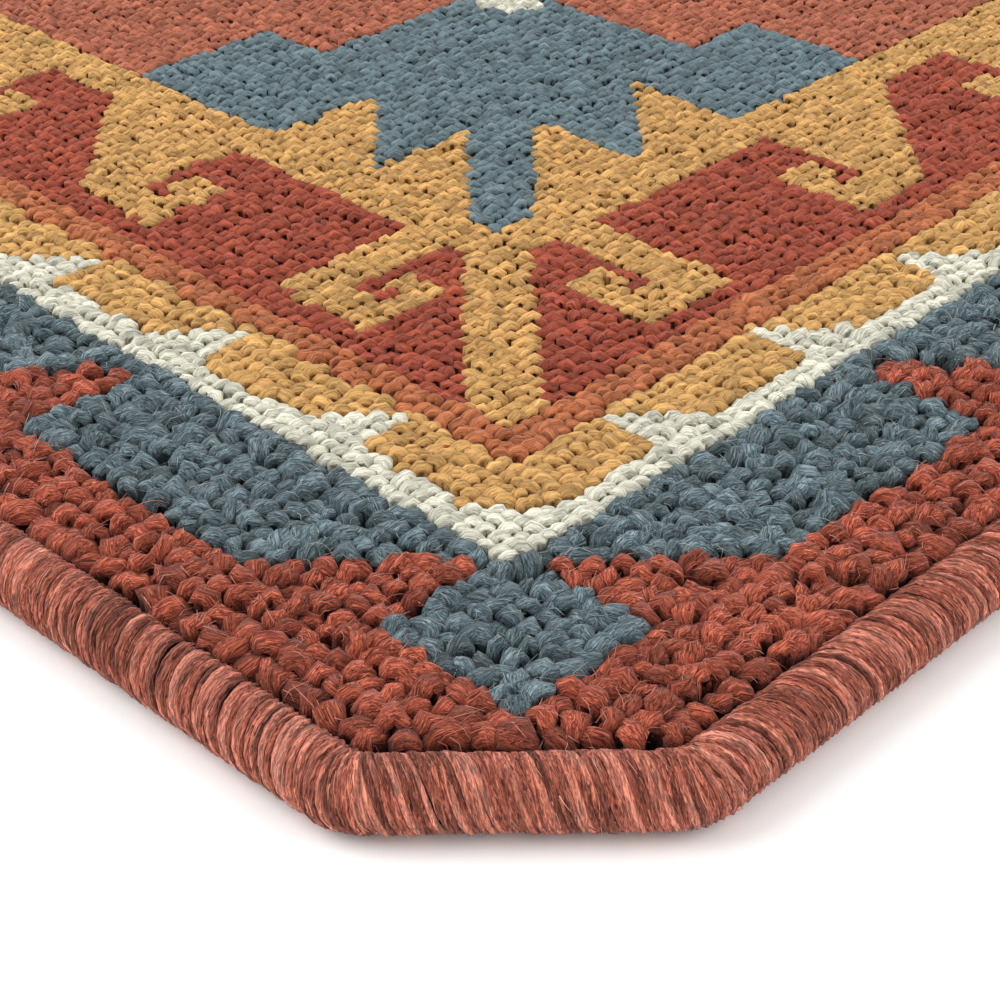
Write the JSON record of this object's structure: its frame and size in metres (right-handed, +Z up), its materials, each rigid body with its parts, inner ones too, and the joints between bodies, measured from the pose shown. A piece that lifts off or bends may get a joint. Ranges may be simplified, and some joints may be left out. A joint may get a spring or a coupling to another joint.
{
  "type": "area rug",
  "caption": "Rectangular loop-pile wool rug with cut-off corners, a corded overcast edge, a tabbed guard band, a hooked frame and a hexagonal medallion.",
  "frame": {"origin": "on the floor, under the middle of the rug", "axes": "+Z up out of the pile, +Y along the long sides, +X along the short ends"},
  "size_m": [0.609, 0.917, 0.013],
  "materials": {
    "rim_yarn": "rust heather wool yarn, overcast",
    "rust_yarn": "rust wool loops, matt and fuzzy",
    "blue_yarn": "blue-grey wool loops, matt",
    "ivory_yarn": "ivory wool loops, matt",
    "gold_yarn": "old-gold wool loops, matt",
    "orange_yarn": "burnt-orange wool loops, matt",
    "brick_yarn": "brick-red wool loops, matt",
    "field_yarn": "rust-orange wool loops, matt",
    "cord": "soft cotton piping cord, dyed dark rust",
    "cloth": "plain-woven cotton tufting cloth",
    "latex": "dried latex, slightly glossy",
    "backing": "plain-woven cotton cloth"
  },
  "bodies": {
    "root": {"secondary_backing": "backing", "latex_coat": "latex", "primary_backing": "cloth", "edge_cord": "cord", "edge_serging": "rim_yarn", "border_pile_rust": "rust_yarn", "guard_pile_blue": "blue_yarn", "line_pile_ivory": "ivory_yarn", "tooth_pile_gold": "gold_yarn", "line_pile_orange": "orange_yarn", "frame_pile_gold": "gold_yarn", "brick_run_near": "brick_yarn", "brick_run_far": "brick_yarn", "brick_run_left": "brick_yarn", "brick_run_right": "brick_yarn", "corner_pile_blue_near_left": "blue_yarn", "corner_pile_blue_near_right": "blue_yarn", "corner_pile_blue_far_left": "blue_yarn", "corner_pile_blue_far_right": "blue_yarn", "corner_spot_ivory_near_left": "ivory_yarn", "corner_spot_ivory_near_right": "ivory_yarn", "corner_spot_ivory_far_left": "ivory_yarn", "corner_spot_ivory_far_right": "ivory_yarn", "rust_field_near": "field_yarn", "rust_field_far": "field_yarn", "rust_field_near_left": "field_yarn", "rust_field_near_right": "field_yarn", "rust_field_far_left": "field_yarn", "rust_field_far_right": "field_yarn", "medallion_outline_blue": "blue_yarn", "medallion_line_ivory": "ivory_yarn", "medallion_field_brick": "brick_yarn", "medallion_steps_gold": "gold_yarn", "medallion_steps_blue": "blue_yarn", "medallion_inner_ivory": "ivory_yarn", "medallion_inner_rust": "field_yarn", "medallion_heart_gold": "gold_yarn", "medallion_heart_blue": "blue_yarn"}
  },
  "joints": []
}
